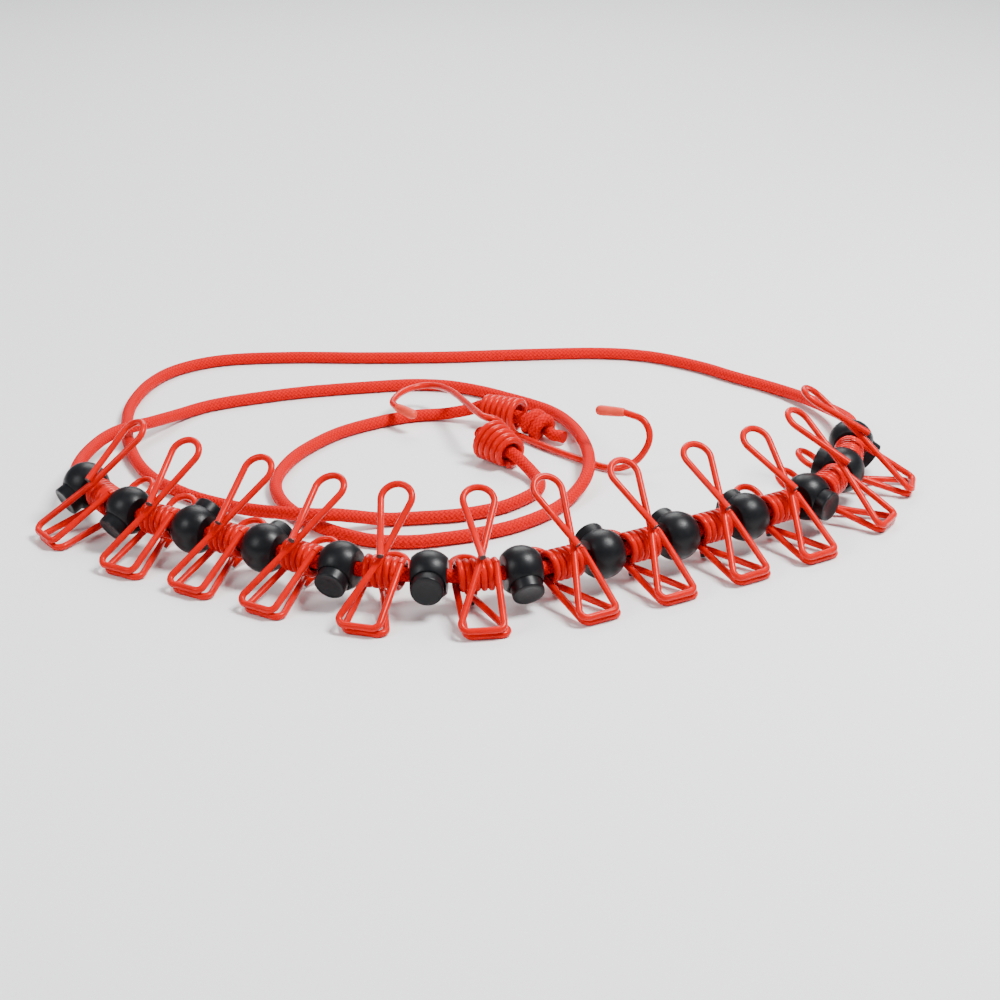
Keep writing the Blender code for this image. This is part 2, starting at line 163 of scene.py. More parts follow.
# The dipped tip: (distance from where the wire enters it, radius)
TIP_PROFILE = [
    (0.0, 1.30), (0.25, 1.62), (0.8, 1.80), (2.5, 1.93), (5.5, 2.03), (8.5, 2.12), (10.2, 2.1),
    (11.2, 1.8), (11.8, 1.25), (12.1, 0.6),
]
# Each hook: the middle and radius of its coil's big and small ends, where the wire leaves the big end,
# which way it winds, the way from there along the shank and round the bend to the dipped tip, and the
# tip's direction. Then the cord's knot: its direction, how far from the big end's middle it starts and
# its tail ends, and where its wraps start and their radius.
HOOKS = {
    "a": {
        "big": (-5, 44.4, 9.3), "small": (5, 32.4, 6.8), "radii": (7.9, 5.0),
        "rim": (0.26, 0.215, 0.94), "wind": -1,
        "route": [(-5.4, 45.5, 17.4), (-7.3, 47.8, 17.3), (-8.7, 52, 16.8), (-11, 60, 15.9),
                  (-18.5, 86, 13), (-23, 97.5, 11.5), (-27, 103.5, 10.6), (-31.5, 106, 10),
                  (-36.5, 104.5, 9.6), (-41, 100, 9.3), (-44, 93.5, 9), (-45, 87, 8.8),
                  (-43, 81.8, 8.7)],
        "tip": (9, -10.4, -0.4),
        "knot": (-10, 12, 2.5), "knot_start": -7.5, "tail_end": 5.5,
        "wrap_start": -3.0, "wrap_radius": 3.0,
    },
    "b": {
        "big": (7.9, 73.6, 7.7), "small": (-5.4, 84.1, 8.0), "radii": (6.2, 4.3),
        "rim": (-0.5, -0.6, -0.62), "wind": 1,
        "route": [(5.7, 69.8, 1.9), (8.6, 66.2, 1.5), (18.3, 54.4, 1.6), (30, 42, 1.6),
                  (38.5, 33.5, 1.6), (44, 29.6, 1.7), (48.5, 28, 2.6), (53, 26.8, 5.2),
                  (56.5, 26.8, 9), (58.8, 27.4, 13.8), (58.8, 29.4, 18), (56, 32, 21.6),
                  (49.5, 35.2, 23.2)],
        "tip": (-9.5, 3.5, -0.3),
        "knot": (17.4, -12.6, -4.2), "knot_start": 1.2, "tail_end": 23,
        "wrap_start": 3.9, "wrap_radius": 4.15,
    },
}

# Knots in the cord's ends
KNOT_WRAPS = 1.9
KNOT_WRAP_PITCH = 4.6
KNOT_WRAP_STEPS = 12                    # for each wrap
KNOT_WRAP_TURN = -0.3                   # of a turn, where the first wrap starts
KNOT_WRAP_NARROW = 0.66                 # share of the wrap's radius at the knot's two ends
KNOT_CURVE_STEPS = 8
KNOT_RING_STEP = 0.7
# The tail: (distance back from its end, sideways, up)
KNOT_TAIL = [(5.0, 0.2, -0.9), (2.5, 0.0, -0.4), (0.0, 0.0, 0.0)]

# Free runs of the cord, from each hook's coil to the row of balls
RUN_A = [
    (9.6, 25.8, 4.9), (13, 20.4, 3.1), (15.4, 12, 2.5), (14, 3, 2.5), (8, -6, 2.5),
    (-1, -14.5, 2.5), (-15, -21, 2.5), (-31, -24, 2.5), (-43.5, -26, 2.8), (-55, -31, 6),
    (-61.5, -35.3, 8.4), (-67.5, -37, 9), (-74, -36, 8.9), (-81, -31.7, 7.6), (-89.5, -25, 5.6),
    (-98.5, -17.5, 3.8), (-107.5, -10.6, 2.8), (-117.5, -3.3, 2.5), (-126, 4.7, 2.5), (-135, 14.7, 2.5),
    (-144, 32, 2.5), (-151, 54, 2.5), (-155.5, 78, 2.5), (-157, 102, 2.5), (-153, 129, 2.5),
    (-143, 149, 2.5), (-124, 162, 2.5), (-94, 166, 2.5), (-60, 165.5, 2.5), (-25, 166.5, 2.5),
    (10, 170, 2.5), (45, 172, 2.5), (68, 167, 2.5), (89, 153, 2.5), (103, 139, 2.5),
    (116, 127, 2.5), (128, 112, 3.2), (137, 92, 5.2), (141.5, 71, 9), (142.5, 54, 12),
]
RUN_B = [
    (-163, 2.5, 12.1), (-163.2, 15, 11.2), (-162, 28.7, 10.2), (-159.3, 41.8, 9.5), (-155.2, 51.6, 9.1),
    (-150.1, 57.7, 8.8), (-145.1, 65.2, 7.6), (-140.2, 77.1, 5.2), (-134.8, 88.5, 3.2), (-127.5, 98, 2.5),
    (-119.6, 103.8, 2.5), (-106, 110.5, 2.5), (-82, 119.5, 2.5), (-49, 127, 2.5), (-35, 128.5, 2.5),
    (-22, 126.5, 2.5), (-8, 119.5, 2.5), (5, 109.5, 2.5), (13.5, 102.5, 2.5), (20.4, 95.3, 2.5),
    (26.4, 84.3, 2.9), (30.9, 67.8, 4.2), (33.8, 50, 5.6), (35.2, 32.8, 6.5), (34.9, 18.5, 6.5),
    (32.8, 7.4, 5.4), (28.9, -1.2, 3.6), (23.3, -11.5, 2.6), (15.5, -22.3, 2.5), (4.5, -32.5, 2.5),
    (-6, -38.5, 2.5), (-19, -43.5, 2.5), (-33, -47, 2.5), (-48, -45.5, 2.5), (-62, -37, 2.5),
    (-72, -27, 2.5), (-80, -15, 2.5), (-85, -3, 2.5), (-87.5, 11, 2.5), (-86, 27, 2.5),
    (-80, 46, 2.5), (-67, 67, 2.5), (-50, 81.5, 2.5), (-36, 88.5, 2.5), (-24, 90, 2.8),
    (-15, 88, 5), (-9.8, 86.4, 6.9),
]

# Camera
CAMERA_TILT = 22.0                      # degrees below the horizon
CAMERA_AWAY = 900.0                     # from the layout's origin
CAMERA_LENS = 83.9
CAMERA_SENSOR = 36.0
CAMERA_CLIP = 0.01                      # metres

# Studio, in metres and watts
FLOOR_HALF = 4.0
FLOOR_DROP = 0.0002                     # about level with the clips' lowest wires
WORLD_COLOUR = (0.9, 0.95, 1.0, 1.0)
WORLD_STRENGTH = 0.3
LIGHTS = [                              # name, place, size and power
    ("key", (0.5, -0.1, 0.95), 0.35, 24.0),
    ("fill", (-0.9, -0.6, 0.8), 0.5, 8.0),
    ("back", (0.0, 1.0, 0.9), 0.8, 14.0),
]

# Edges sharper than these, in degrees, stay sharp in the shading or are rounded
SWEEP_SHARP = 50
TURNED_SHARP = 35
CARVED_SHARP = 40
ROUNDED_FROM = 42
ROUNDING_SEGMENTS = 3


# ---------------------------------------------------------------- geometry helpers

def place(points):
    """Layout coordinates in millimetres to frame coordinates in metres."""
    return [(Vector(point) - CENTRE) * MM for point in points]


def catmull_rom(points, steps):
    """Points along a smooth curve through the given ones."""
    points = [Vector(point) for point in points]
    ends = [points[0] * 2 - points[1]] + points + [points[-1] * 2 - points[-2]]
    curve = []
    for index in range(1, len(ends) - 2):
        before, start, finish, after = ends[index - 1:index + 3]
        for step in range(steps):
            t = step / steps
            curve.append(0.5 * (2 * start + (finish - before) * t
                                + (2 * before - 5 * start + 4 * finish - after) * t ** 2
                                + (3 * start - before - 3 * finish + after) * t ** 3))
    curve.append(points[-1])
    return curve


def lengths_along(curve):
    """Distance along the curve of each of its points."""
    lengths = [0.0]
    for first, second in zip(curve, curve[1:]):
        lengths.append(lengths[-1] + (second - first).length)
    return lengths


def resample(curve, spacing):
    """The curve's own ends and evenly spaced points between them."""
    lengths = lengths_along(curve)
    count = max(2, round(lengths[-1] / spacing))
    samples = []
    index = 0
    for step in range(count + 1):
        wanted = lengths[-1] * step / count
        while index < len(curve) - 2 and lengths[index + 1] < wanted:
            index += 1
        share = (wanted - lengths[index]) / (lengths[index + 1] - lengths[index])
        samples.append(curve[index].lerp(curve[index + 1], share))
    return samples


def walk(curve, spacing, count):
    """Points on the curve whose straight distance from each to the next is the spacing."""
    places = [curve[0]]
    index = 0
    while len(places) < count:
        while (curve[index + 1] - places[-1]).length < spacing:
            index += 1
        low, high = 0.0, 1.0
        for _ in range(40):
            middle = (low + high) / 2
            point = curve[index].lerp(curve[index + 1], middle)
            if (point - places[-1]).length < spacing:
                low = middle
            else:
                high = middle
        places.append(curve[index].lerp(curve[index + 1], high))
    return places


def filleted(points, radius):
    """The polyline with each inner corner rounded to the radius, or to less where a leg is short."""
    points = [Vector(point) for point in points]
    path = [points[0]]
    for before, corner, after in zip(points, points[1:], points[2:]):
        to_before = before - corner
        to_after = after - corner
        bend = math.pi - to_before.angle(to_after)
        if bend < math.radians(STRAIGHT):
            path.append(corner)
            continue
        reach = min(radius * math.tan(bend / 2),
                    to_before.length * FILLET_SHARE, to_after.length * FILLET_SHARE)
        start = corner + to_before.normalized() * reach
        finish = corner + to_after.normalized() * reach
        steps = max(2, math.ceil(math.degrees(bend) / FILLET_STEP))
        inward = (to_before.normalized() + to_after.normalized()).normalized()
        centre = corner + inward * reach / math.sin(bend / 2)
        spoke = start - centre
        axis = spoke.cross(finish - centre).normalized()
        for step in range(steps + 1):
            path.append(centre + Matrix.Rotation(bend * step / steps, 3, axis) @ spoke)
    path.append(points[-1])
    return path


def circle(centre, first, second, radius, sides):
    """Points round the centre, in the plane of two directions."""
    turns = [2 * math.pi * side / sides for side in range(sides)]
    return [centre + (first * math.cos(turn) + second * math.sin(turn)) * radius for turn in turns]


def sweep(name, centres, radii, sides, material, core=None):
    """A round tube along frame points, with a map of (share of the turn, metres along) for its weave.

    The radii are one number, or one for each point. Where a core's material is given, the wire's core
    shows in the tube's first end.
    """
    mesh = bpy.data.meshes.new(name)
    shape = bmesh.new()
    weave = shape.loops.layers.uv.new("weave")
    tangents = [(after - before).normalized() for before, after in
                zip(centres[:1] + centres[:-1], centres[1:] + centres[-1:])]
    if not isinstance(radii, list):
        radii = [radii] * len(centres)
    normal = tangents[0].orthogonal().normalized()
    lengths = lengths_along(centres)
    rings = []
    for centre, tangent, radius in zip(centres, tangents, radii):
        normal = (normal - tangent * normal.dot(tangent)).normalized()
        ring = circle(centre, normal, tangent.cross(normal), radius * MM, sides)
        rings.append([shape.verts.new(point) for point in ring])
    for index, (ring, following) in enumerate(zip(rings, rings[1:])):
        for side in range(sides):
            after = (side + 1) % sides
            face = shape.faces.new((ring[side], ring[after], following[after], following[side]))
            corners = ((side, index), (side + 1, index), (side + 1, index + 1), (side, index + 1))
            for loop, (turn, along) in zip(face.loops, corners):
                loop[weave].uv = (turn / sides, lengths[along])
    cap = shape.faces.new(rings[0][::-1])
    if core:
        inset = bmesh.ops.inset_region(shape, faces=[cap], thickness=(radii[0] - CORE_RADIUS) * MM)
        cap.material_index = 1
        raised = bmesh.ops.extrude_discrete_faces(shape, faces=[cap])["faces"][0]
        bmesh.ops.translate(shape, verts=raised.verts, vec=-tangents[0] * CORE_PROUD * MM)
        raised.material_index = 1
        for face in inset["faces"]:
            face.material_index = 0
    shape.faces.new(rings[-1])
    bmesh.ops.recalc_face_normals(shape, faces=shape.faces)
    shape.to_mesh(mesh)
    shape.free()
    mesh.shade_smooth()
    mesh.set_sharp_from_angle(angle=math.radians(SWEEP_SHARP))
    mesh.materials.append(material)
    if core:
        mesh.materials.append(core)
    return add_object(name, mesh)


def add_object(name, mesh):
    item = bpy.data.objects.new(name, mesh)
    bpy.context.collection.objects.link(item)
    return item


def turned_mesh(name, profile, sides, material):
    """A solid turned about Z from (radius, height) points in millimetres.

    The profile runs from axis to axis, or it is closed.
    """
    mesh = bpy.data.meshes.new(name)
    shape = bmesh.new()
    rings = []
    for radius, height in profile:
        if radius == 0:
            rings.append([shape.verts.new((0, 0, height * MM))])
            continue
        ring = circle(Vector((0, 0, height * MM)), Vector((1, 0, 0)), Vector((0, 1, 0)), radius * MM, sides)
        rings.append([shape.verts.new(point) for point in ring])
    pairs = list(zip(rings, rings[1:]))
    if profile[0][0] > 0:
        pairs.append((rings[-1], rings[0]))
    for lower, upper in pairs:
        for side in range(sides):
            after = (side + 1) % sides
            if len(lower) == 1:
                shape.faces.new((lower[0], upper[after], upper[side]))
            elif len(upper) == 1:
                shape.faces.new((lower[side], lower[after], upper[0]))
            else:
                shape.faces.new((lower[side], lower[after], upper[after], upper[side]))
    bmesh.ops.recalc_face_normals(shape, faces=shape.faces)
    shape.to_mesh(mesh)
    shape.free()
    mesh.shade_smooth()
    mesh.set_sharp_from_angle(angle=math.radians(TURNED_SHARP))
    mesh.materials.append(material)
    return mesh


def axes_matrix(x_axis, y_axis, z_axis, origin):
    matrix = Matrix((x_axis, y_axis, z_axis)).transposed().to_4x4()
    matrix.translation = origin
    return matrix


def baked(item):
    """The object's mesh with its modifiers applied, as a new mesh."""
    bpy.context.view_layer.update()
    evaluated = item.evaluated_get(bpy.context.evaluated_depsgraph_get())
    return bpy.data.meshes.new_from_object(evaluated)


def carved(name, body, cutter, rounding):
    """The body's mesh with the cutter taken away and its sharp edges rounded."""
    item = add_object(name, body)
    tool = add_object(name + "_tool", cutter)
    cut = item.modifiers.new("cut", "BOOLEAN")
    cut.solver = "EXACT"
    cut.object = tool
    bevel = item.modifiers.new("round", "BEVEL")
    bevel.width = rounding * MM
    bevel.segments = ROUNDING_SEGMENTS
    bevel.limit_method = "ANGLE"
    bevel.angle_limit = math.radians(ROUNDED_FROM)
    mesh = baked(item)
    bpy.data.objects.remove(tool, do_unlink=True)
    bpy.data.objects.remove(item, do_unlink=True)
    mesh.shade_smooth()
    mesh.set_sharp_from_angle(angle=math.radians(CARVED_SHARP))
    return mesh


# ---------------------------------------------------------------- materials

NOISE_RANGE = (0.3, 0.7)                # where nearly all of a noise texture's values lie
MIX_COLOUR_INPUTS = (0, 6, 7)           # the mix node's own numbers for share and the two colours
MIX_COLOUR_OUTPUT = 2


class Nodes:
    """Short calls for building one material's node tree."""

    def __init__(self, name, colour, roughness, **sockets):
        self.material = bpy.data.materials.new(name)
        self.material.use_nodes = True
        self.tree = self.material.node_tree
        self.shader = self.tree.nodes["Principled BSDF"]
        self.set("Base Color", (*colour, 1.0))
        self.set("Roughness", roughness)
        for socket, value in sockets.items():
            self.set(socket.replace("_", " "), value)

    def set(self, socket, value):
        self.shader.inputs[socket].default_value = value

    def add(self, kind, **values):
        """A new node with its inputs set: each value is a constant or another node's output."""
        node = self.tree.nodes.new(kind)
        for name, value in values.items():
            self.feed(node.inputs[name.replace("_", " ")], value)
        return node

    def feed(self, target, value):
        if isinstance(value, bpy.types.NodeSocket):
            self.tree.links.new(value, target)
        else:
            target.default_value = value

    def math(self, operation, *values):
        node = self.tree.nodes.new("ShaderNodeMath")
        node.operation = operation
        for target, value in zip(node.inputs, values):
            self.feed(target, value)
        return node.outputs[0]

    def blend(self, share, first, second):
        """Colour between two colours."""
        node = self.tree.nodes.new("ShaderNodeMix")
        node.data_type = "RGBA"
        for index, value in zip(MIX_COLOUR_INPUTS, (share, first, second)):
            self.feed(node.inputs[index], value)
        return node.outputs[MIX_COLOUR_OUTPUT]

    def noise(self, scale, detail, roughness=0.5):
        spot = self.tree.nodes.new("ShaderNodeTexCoord").outputs["Object"]
        noise = self.add("ShaderNodeTexNoise", Vector=spot, Scale=scale, Detail=detail, Roughness=roughness)
        return noise.outputs["Fac"]

    def spread(self, value, low, high):
        """A noise value stretched to run from low to high."""
        start, finish = NOISE_RANGE
        node = self.add("ShaderNodeMapRange", Value=value, From_Min=start, From_Max=finish,
                        To_Min=low, To_Max=high)
        return node.outputs["Result"]

    def bump(self, height, strength, distance, under=None):
        """Surface normal pushed by a height, in metres, over another bump where one is given."""
        node = self.add("ShaderNodeBump", Height=height, Strength=strength, Distance=distance)
        if under:
            self.feed(node.inputs["Normal"], under)
        return node.outputs["Normal"]

    def connect(self, output, socket):
        self.tree.links.new(output, self.shader.inputs[socket])


def vinyl_red():
    """Glossy soft vinyl drawn over steel wire: a little uneven, with small scuffs."""
    nodes = Nodes("red_vinyl", (0.56, 0.001, 0.0005), 0.2, Specular_IOR_Level=0.32)
    nodes.set("Specular Tint", (1.0, 0.32, 0.26, 1.0))
    tone = nodes.spread(nodes.noise(140, 2), 0, 1)
    nodes.connect(nodes.blend(tone, (0.52, 0.0006, 0.0003, 1), (0.62, 0.001, 0.0006, 1)), "Base Color")
    nodes.connect(nodes.spread(nodes.noise(900, 4), 0.17, 0.29), "Roughness")
    nodes.connect(nodes.bump(nodes.noise(700, 3), 0.12, 0.0002), "Normal")
    return nodes.material


def braid_red():
    """Red braided sleeve: two families of yarns that pass over and under each other, with painted shade
    darkening the grooves between them.
    """
    nodes = Nodes("red_braid", (0.6, 0.0006, 0.002), 0.6, Specular_IOR_Level=0.08)
    nodes.set("Specular Tint", (1.0, 0.3, 0.32, 1.0))
    weave = nodes.add("ShaderNodeUVMap")
    weave.uv_map = "weave"
    split = nodes.add("ShaderNodeSeparateXYZ", Vector=weave.outputs["UV"])
    turn = nodes.math("MULTIPLY", split.outputs[0], BRAID_STRANDS)
    along = nodes.math("MULTIPLY", split.outputs[1], BRAID_STRANDS / BRAID_LAY)
    right = nodes.math("ADD", turn, along)
    left = nodes.math("SUBTRACT", turn, along)
    ridges = []
    for family in (right, left):
        ridges.append(nodes.math("SINE", nodes.math("MULTIPLY", nodes.math("FRACT", family), math.pi)))
    parity = nodes.math("FLOORED_MODULO", nodes.math("ADD", nodes.math("FLOOR", right),
                                                     nodes.math("FLOOR", left)), 2.0)
    over = nodes.math("MULTIPLY", ridges[0], nodes.math("SUBTRACT", 1.0, parity))
    height = nodes.math("ADD", over, nodes.math("MULTIPLY", ridges[1], parity))
    fibres = nodes.noise(2600, 3, 0.65)
    # Painted shade: the base colour is darkest in the weave's grooves, where the yarns dip under each
    # other, and lightest on the raised yarns
    painted_groove_shade = nodes.math("MULTIPLY_ADD", height, 0.75, 0.12)
    nodes.connect(nodes.blend(painted_groove_shade, (0.36, 0.0003, 0.0016, 1), (0.7, 0.0008, 0.0025, 1)), "Base Color")
    rough = nodes.bump(fibres, 0.25, 0.0002)
    nodes.connect(nodes.bump(height, 0.55, 0.00035, rough), "Normal")
    return nodes.material


def moulded_black():
    """Satin black moulded plastic with a fine grain."""
    nodes = Nodes("black_plastic", (0.005, 0.0055, 0.0065), 0.38, Specular_IOR_Level=0.2)
    tone = nodes.spread(nodes.noise(90, 2), 0, 1)
    nodes.connect(nodes.blend(tone, (0.004, 0.0045, 0.0055, 1), (0.006, 0.0065, 0.008, 1)), "Base Color")
    nodes.connect(nodes.spread(nodes.noise(420, 5, 0.6), 0.3, 0.44), "Roughness")
    nodes.connect(nodes.bump(nodes.noise(1600, 3), 0.14, 0.0002), "Normal")
    return nodes.material


def dipped_orange():
    """Soft dip coating on the hooks' ends, lighter than the wire."""
    nodes = Nodes("dipped_tip", (0.72, 0.045, 0.02), 0.5, Specular_IOR_Level=0.3)
    tone = nodes.spread(nodes.noise(260, 3), 0, 1)
    nodes.connect(nodes.blend(tone, (0.67, 0.035, 0.017, 1), (0.77, 0.06, 0.028, 1)), "Base Color")
    nodes.connect(nodes.spread(nodes.noise(700, 3), 0.42, 0.58), "Roughness")
    nodes.connect(nodes.bump(nodes.noise(900, 3), 0.16, 0.0002), "Normal")
    return nodes.material


def bare_steel():
    """Cut steel wire."""
    nodes = Nodes("bare_steel", (0.1, 0.09, 0.085), 0.45, Metallic=1.0)
    nodes.connect(nodes.spread(nodes.noise(2400, 4), 0.35, 0.6), "Roughness")
    nodes.connect(nodes.bump(nodes.noise(3000, 2), 0.2, 0.0001), "Normal")
    return nodes.material


def white_sweep():
    """Matt white studio paper."""
    nodes = Nodes("white_sweep", (0.9, 0.9, 0.9), 0.9, Specular_IOR_Level=0.1)
    nodes.connect(nodes.bump(nodes.noise(40, 2), 0.02, 0.001), "Normal")
    return nodes.material


# ---------------------------------------------------------------- row of balls and clips

def ball_frames():
    """Centre, cord direction and outward side of every ball."""
    curve = catmull_rom([(x, y, AXIS_HEIGHT) for x, y in ARC_POINTS], ARC_CURVE_STEPS)
    stations = walk(curve, BALL_PITCH, BALL_COUNT + 1)
    before = stations[0] * 2 - stations[1]
    frames = []
    for index in range(BALL_COUNT):
        back = stations[index - 1] if index else before
        along = ((stations[index + 1] - stations[index]).normalized()
                 + (stations[index] - back).normalized()).normalized()
        frames.append((stations[index], along, Vector((along.y, -along.x, 0))))
    return frames


def shell_mesh(black):
    """The ball with the cord's hole along Z and the button's bore along X."""
    rim = math.acos(BALL_HALF_WIDTH / BALL_RADIUS)
    profile = [(CORD_HOLE_RADIUS, -BALL_HALF_WIDTH)]
    for step in range(BALL_ARC_STEPS + 1):
        angle = rim + (math.pi - 2 * rim) * step / BALL_ARC_STEPS
        profile.append((BALL_RADIUS * math.sin(angle), -BALL_RADIUS * math.cos(angle)))
    profile.append((CORD_HOLE_RADIUS, BALL_HALF_WIDTH))
    body = turned_mesh("ball_shell", profile, BALL_SIDES, black)
    outside = BALL_RADIUS + 1
    bore_profile = [(0, POCKET_FLOOR), (POCKET_RADIUS, POCKET_FLOOR), (POCKET_RADIUS, BORE_FLOOR),
                    (BORE_RADIUS, BORE_FLOOR), (BORE_RADIUS, outside), (0, outside)]
    bore = turned_mesh("ball_bore", bore_profile, BALL_SIDES, black)
    bore.transform(Matrix.Rotation(math.pi / 2, 4, "Y"))
    return carved("ball_shell_work", body, bore, BALL_ROUNDING)


def button_mesh(black):
    """The push button along Z, with a slot that the cord runs through along Y."""
    rounded = [(BUTTON_RADIUS + BUTTON_EDGE * (math.sin(angle) - 1),
                BUTTON_TOP + BUTTON_EDGE * (math.cos(angle) - 1))
               for angle in (math.pi / 2, math.pi / 3, math.pi / 6, 0)]
    profile = [(0, BUTTON_NOSE), (BUTTON_NOSE_RADIUS, BUTTON_NOSE), (BUTTON_NOSE_RADIUS, BUTTON_SHOULDER),
               (BUTTON_RADIUS, BUTTON_SHOULDER)] + rounded
    profile += [(DISH_RADIUS + DISH_RIM, BUTTON_TOP), (DISH_RADIUS, BUTTON_TOP - DISH_STEP),
                (0, BUTTON_TOP - DISH_DEPTH)]
    body = turned_mesh("ball_button", profile, BALL_SIDES, black)
    slot = bpy.data.meshes.new("ball_slot")
    shape = bmesh.new()
    low = -CORD_HOLE_RADIUS
    high = CORD_HOLE_RADIUS + BUTTON_TRAVEL + SLOT_SPARE
    size = Vector((2 * CORD_HOLE_RADIUS, 4 * BUTTON_RADIUS, high - low)) * MM
    matrix = Matrix.Translation((0, 0, (low + high) / 2 * MM)) @ Matrix.Diagonal((*size, 1))
    bmesh.ops.create_cube(shape, size=1, matrix=matrix)
    shape.to_mesh(slot)
    shape.free()
    return carved("ball_button_work", body, slot, BUTTON_ROUNDING)


def spring_centres(spot, axes):
    """Conical spring between the pocket's floor and the button's nose."""
    side, along, press = axes
    steps = SPRING_STEPS * SPRING_TURNS
    low = POCKET_FLOOR + SPRING_SEATS[0]
    high = BUTTON_NOSE - SPRING_SEATS[1]
    centres = []
    for step in range(steps + 1):
        share = step / steps
        angle = 2 * math.pi * SPRING_TURNS * share
        radius = SPRING_RADII[0] + (SPRING_RADII[1] - SPRING_RADII[0]) * share
        centres.append(spot + (side * math.cos(angle) * radius + along * math.sin(angle) * radius
                               + press * (low + (high - low) * share)) * MM)
    return centres


def build_balls(frames, black, steel):
    """Thirteen cord locks: shells on the line, buttons that press, and springs fixed to the line."""
    shell = shell_mesh(black)
    button = button_mesh(black)
    for number, (centre, along, outward) in enumerate(frames, 1):
        angle = math.radians(BUTTON_ANGLES[number - 1])
        press = outward * math.cos(angle) + Vector((0, 0, 1)) * math.sin(angle)
        side = press.cross(along)
        spot = place([centre])[0]
        body = add_object(f"lock_{number:02d}_shell", shell)
        body.matrix_world = axes_matrix(press, side, along, spot)
        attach(body, "line")
        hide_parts(f"ball_{number:02d}_shell")
        knob = add_object(f"lock_{number:02d}_button", button)
        knob.matrix_world = axes_matrix(side, along, press, spot)
        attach(knob, f"button_{number:02d}")
        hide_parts(f"ball_{number:02d}_button")
        spring = sweep(f"lock_{number:02d}_spring", spring_centres(spot, (side, along, press)),
                       SPRING_WIRE_RADIUS, SPRING_SIDES, steel)
        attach(spring, "line")
        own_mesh(spring)


def set_tip(tip, sway, degrees):
    """A handle's tip moved along the cord and turned about it, away from where the other handle is."""
    angle = math.radians(degrees)
    along, inward, away = tip
    return (along + sway, inward * math.cos(angle) - away * math.sin(angle),
            inward * math.sin(angle) + away * math.cos(angle))


def arm_path(crossing, tip, joint_u):
    """Centreline of one arm: cut end, handle loop, crossing, jaw, and back to the coil."""
    crossing = Vector(crossing)
    tip = Vector(tip)
    handle = (tip - crossing).normalized()
    across = (Vector((1, 0, 0)) - handle * handle.x).normalized()
    lift = handle.cross(across)
    if lift.z < 0:
        lift = -lift
    centre = tip - handle * LOOP_RADIUS
    reach = (centre - crossing).length
    lean = math.asin(LOOP_RADIUS / reach)
    start = crossing + across * END_PLACE[0] + handle * END_PLACE[1] + lift * END_LIFT
    loop = []
    for step in range(LOOP_STEPS + 1):
        share = step / LOOP_STEPS
        angle = math.pi + lean - (math.pi + 2 * lean) * share
        fade = END_LIFT * END_FADE[0] * max(0.0, 1 - END_FADE[1] * share)
        spoke = across * math.cos(angle) + handle * math.sin(angle)
        loop.append(centre + spoke * LOOP_RADIUS + lift * fade)
    legs = [loop[-1], crossing, Vector((JAW_LEFT, JAW_REACH, JAW_OFFSET)),
            Vector((JAW_RIGHT, JAW_REACH, JAW_OFFSET)), Vector((joint_u, 0.0, COIL_RADIUS))]
    return [start] + loop[:-1] + filleted(legs, CORNER_RADIUS)


def coil_path():
    """The coil's centreline from the front arm's side to the back arm's."""
    half = COIL_TURNS * COIL_PITCH / 2
    steps = round(COIL_TURNS * COIL_STEPS)
    points = []
    for step in range(steps + 1):
        angle = math.pi / 2 + 2 * math.pi * COIL_TURNS * step / steps
        points.append(Vector((half - 2 * half * step / steps,
                              COIL_RADIUS * math.cos(angle), COIL_RADIUS * math.sin(angle))))
    return points


def build_clips(frames, vinyl, steel):
    """Twelve clips halfway between the balls, each with its own set."""
    joint_u = COIL_TURNS * COIL_PITCH / 2
    drop = math.radians(JAW_DROP)
    for number in range(1, BALL_COUNT):
        first, second = frames[number - 1], frames[number]
        start = first[0] + first[1] * BALL_CORD_REACH
        finish = second[0] - second[1] * BALL_CORD_REACH
        centre = (start + finish) / 2
        along = (finish - start).normalized()
        outward = Vector((along.y, -along.x, 0))
        jaw = outward * math.cos(drop) - Vector((0, 0, 1)) * math.sin(drop)
        lift = outward * math.sin(drop) + Vector((0, 0, 1)) * math.cos(drop)

        def world(points):
            return place([centre + along * point.x + jaw * point.y + lift * point.z for point in points])

        clip = f"clip_{number:02d}"
        front_tip = set_tip(FRONT_TIP, FRONT_SWAY[number - 1], FRONT_LEAN[number - 1])
        front = sweep(f"{clip}_front_wire", world(arm_path(FRONT_CROSSING, front_tip, joint_u)),
                      WIRE_RADIUS, WIRE_SIDES, vinyl, steel)
        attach(front, f"{clip}_jaw")
        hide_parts(f"{clip}_front_arm")
        back_tip = set_tip(BACK_TIP, 0, -BACK_DROOP[number - 1])
        back_points = [Vector((-point.x, point.y, -point.z))
                       for point in arm_path(BACK_CROSSING, back_tip, joint_u)]
        back = sweep(f"{clip}_back_wire", world(back_points), WIRE_RADIUS, WIRE_SIDES, vinyl, steel)
        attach(back, clip)
        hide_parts(f"{clip}_back_arm")
        coil = sweep(f"{clip}_coil", world(coil_path()), WIRE_RADIUS, WIRE_SIDES, vinyl)
        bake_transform(coil)


# ---------------------------------------------------------------- hooks and knots

def hook_centres(hook):
    """Centreline of a hook from its coil's small end to where the wire enters the dipped tip."""
    big = Vector(hook["big"])
    small = Vector(hook["small"])
    big_radius, small_radius = hook["radii"]
    axis = (big - small).normalized()
    rim = Vector(hook["rim"])
    rim = (rim - axis * rim.dot(axis)).normalized()
    side = axis.cross(rim)
    coil = []
    steps = round(HOOK_COIL_TURNS * COIL_STEPS)
    for step in range(steps + 1):
        share = step / steps
        angle = hook["wind"] * 2 * math.pi * (share - 1) * HOOK_COIL_TURNS
        radius = small_radius + (big_radius - small_radius) * share
        spoke = rim * math.cos(angle) + side * math.sin(angle)
        coil.append(small.lerp(big, share) + spoke * radius)
    shank = catmull_rom(coil[-2:] + hook["route"], SHANK_STEPS)[SHANK_STEPS:]
    return coil[:-1] + shank


